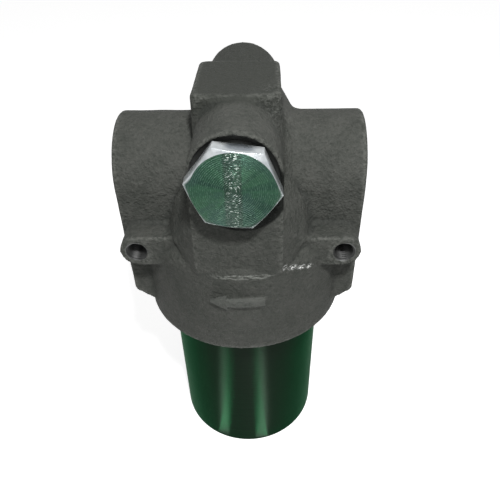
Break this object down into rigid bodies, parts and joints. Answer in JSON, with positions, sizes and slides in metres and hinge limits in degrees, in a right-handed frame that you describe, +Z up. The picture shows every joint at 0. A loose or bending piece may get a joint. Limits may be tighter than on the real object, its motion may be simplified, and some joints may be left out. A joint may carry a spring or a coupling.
{
  "type": "hydraulic pressure filter",
  "caption": "In-line hydraulic pressure filter: cast-iron head with two side ports, hexagon plug and bypass valve, over a screwed dark green steel bowl with pleated element.",
  "frame": {"origin": "centre of the bowl's flat base, where the filter stands", "axes": "+Z up along the bowl axis; X along the two ports, inlet at +X and outlet at -X; -Y towards the hexagon plug and the lugs"},
  "size_m": [0.142, 0.1432, 0.2778],
  "materials": {
    "casting": "matt dark grey phosphated sand casting",
    "bowl_coat": "glossy very dark green coat on steel",
    "turned_steel": "turned",
    "spring_steel": "oiled",
    "plated_sheet": "zinc plated",
    "rubber": "matt",
    "seal_plastic": "white",
    "media": "pleated glass-fibre fleece"
  },
  "bodies": {
    "head": {"filter_head": "casting", "indicator_port_plug": "turned_steel", "plug_seal_ring": "turned_steel", "plug_seal_lip": "rubber", "element_spigot": "turned_steel", "spigot_o_ring": "rubber", "element_o_ring": "rubber", "element_top_cap": "plated_sheet", "element_bottom_cap": "plated_sheet", "element_core_tube": "plated_sheet", "element_support_mesh": "plated_sheet", "element_media": "media", "bypass_seat": "turned_steel", "bypass_cage": "turned_steel", "bypass_snap_ring": "spring_steel"},
    "bowl_seals": {"bowl_o_ring": "rubber", "bowl_backup_ring": "seal_plastic"},
    "bowl": {"filter_bowl": "bowl_coat"},
    "bypass": {"bypass_poppet": "turned_steel", "bypass_spring": "spring_steel"}
  },
  "joints": [
    {"name": "bowl_lower", "type": "slide", "parent": "head", "child": "bowl_seals", "axis": [0, 0, -1], "range_m": [0, 0.018]},
    {"name": "bowl_turn", "type": "hinge", "parent": "bowl_seals", "child": "bowl", "pos_m": [0, 0, 0.1], "axis": [0, 0, -1], "range_deg": [0, 2160]},
    {"name": "bypass_lift", "type": "slide", "parent": "head", "child": "bypass", "axis": [0, 0, 1], "range_m": [0, 0.005], "stiffness_N_per_m": 5000, "springref_m": -0.002, "deforming": ["bypass_spring"]}
  ],
  "couplings": [
    {"joint": "bowl_lower", "follows": "bowl_turn", "m_per_rad": 0.00047746}
  ]
}
